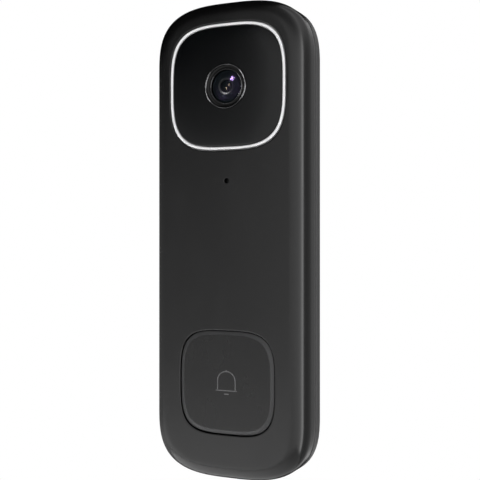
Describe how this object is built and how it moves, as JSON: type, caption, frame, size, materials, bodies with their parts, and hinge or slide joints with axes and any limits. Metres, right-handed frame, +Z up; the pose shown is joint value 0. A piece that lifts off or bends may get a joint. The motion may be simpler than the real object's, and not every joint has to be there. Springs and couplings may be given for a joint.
{
  "type": "video doorbell",
  "caption": "Slim black video doorbell with rounded ends, a white light ring round its camera, a square-round push button, and a hooked wall plate it tilts off.",
  "frame": {"origin": "centre of the wall plate's back face, in the plane of the wall", "axes": "+Z up along the housing, +Y into the wall, +X to the right of someone facing the doorbell"},
  "size_m": [0.045, 0.0188, 0.13],
  "materials": {
    "gloss_shell": "polished black moulding",
    "rear_shell": "fine satin black moulding",
    "plate_plastic": "satin dark moulding",
    "spring_steel": "bright rolled strip",
    "screw_steel": "zinc plated",
    "seal_rubber": "soft matt rubber",
    "ring_diffuser": "milky light guide",
    "window_dark": "polished tinted window",
    "circuit_board": "solder mask",
    "lamp_white": "moulded lamp",
    "infrared_lamp": "dark tinted moulding",
    "sensor_dark": "tinted moulding",
    "bezel_dark": "semi-gloss black",
    "lens_glass": "coated optical glass",
    "barrel_black": "matt black",
    "inner_plastic": "glass-filled moulding",
    "sensor_glass": "cover glass",
    "flex_film": "amber film",
    "chip_black": "epoxy moulding",
    "tin_plate": "tin plated",
    "pad_grey": "filled silicone",
    "gold_contact": "gold plated",
    "capacitor_sleeve": "shrink sleeve",
    "ferrite": "sintered ferrite",
    "connector_ivory": "nylon",
    "mesh_grey": "woven mesh",
    "cone_grey": "pressed film",
    "copper_wire": "enamelled copper",
    "lead_red": "insulated wire",
    "button_cap": "semi-gloss black",
    "membrane": "silicone",
    "plunger_white": "acetal",
    "terminal_plastic": "flame retardant moulding",
    "terminal_brass": "nickel flashed"
  },
  "bodies": {
    "plate": {"wall_plate": "plate_plastic", "latch_spring": "spring_steel"},
    "doorbell": {"front_housing": "gloss_shell", "rear_housing": "rear_shell", "housing_gasket": "seal_rubber", "housing_screws": "screw_steel", "light_ring": "ring_diffuser", "camera_window": "window_dark", "window_seal": "seal_rubber", "ring_board": "circuit_board", "ring_lamps": "lamp_white", "infrared_lamps": "infrared_lamp", "light_sensor": "sensor_dark", "lens_bezel": "bezel_dark", "front_lens": "lens_glass", "lens_barrel": "barrel_black", "rear_lenses": "lens_glass", "aperture_stop": "barrel_black", "lens_holder": "inner_plastic", "image_sensor": "sensor_glass", "camera_board": "circuit_board", "camera_bracket": "inner_plastic", "bracket_screws": "screw_steel", "camera_flex": "flex_film", "ring_flex": "flex_film", "main_board": "circuit_board", "board_screws": "screw_steel", "processor": "chip_black", "shield_can": "tin_plate", "thermal_pad": "pad_grey", "wifi_antenna": "gold_contact", "storage_capacitors": "capacitor_sleeve", "power_coil": "ferrite", "flex_connectors": "connector_ivory", "microphone": "tin_plate", "mic_boot": "seal_rubber", "mic_mesh": "mesh_grey", "speaker_frame": "inner_plastic", "speaker_cone": "cone_grey", "speaker_coil": "copper_wire", "speaker_magnet": "tin_plate", "speaker_gasket": "seal_rubber", "speaker_leads": "lead_red", "button_membrane": "membrane", "button_retainer": "inner_plastic", "button_switch": "chip_black", "terminal_block": "terminal_plastic", "terminal_plates": "terminal_brass", "terminal_screws": "screw_steel", "setup_switch": "chip_black"},
    "button": {"doorbell_button": "button_cap"},
    "plunger": {"switch_plunger": "plunger_white"},
    "setup": {"setup_button": "inner_plastic", "setup_plunger": "plunger_white"}
  },
  "joints": [
    {"name": "unit_tilt", "type": "hinge", "parent": "plate", "child": "doorbell", "pos_m": [0, -0.0076, 0.0565], "axis": [-1, 0, 0], "range_deg": [0, 18], "deforming": ["latch_spring"]},
    {"name": "button_press", "type": "slide", "parent": "doorbell", "child": "button", "axis": [0, 1, 0], "range_m": [0, 0.0006], "stiffness_N_per_m": 3000, "springref_m": -0.0004, "deforming": ["button_membrane"]},
    {"name": "plunger_press", "type": "slide", "parent": "doorbell", "child": "plunger", "axis": [0, 1, 0], "range_m": [0, 0.0003]},
    {"name": "setup_press", "type": "slide", "parent": "doorbell", "child": "setup", "axis": [0, -1, 0], "range_m": [0, 0.00025], "stiffness_N_per_m": 4000, "springref_m": -0.0002}
  ],
  "couplings": [
    {"joint": "plunger_press", "follows": "button_press", "ratio": 0.5}
  ]
}
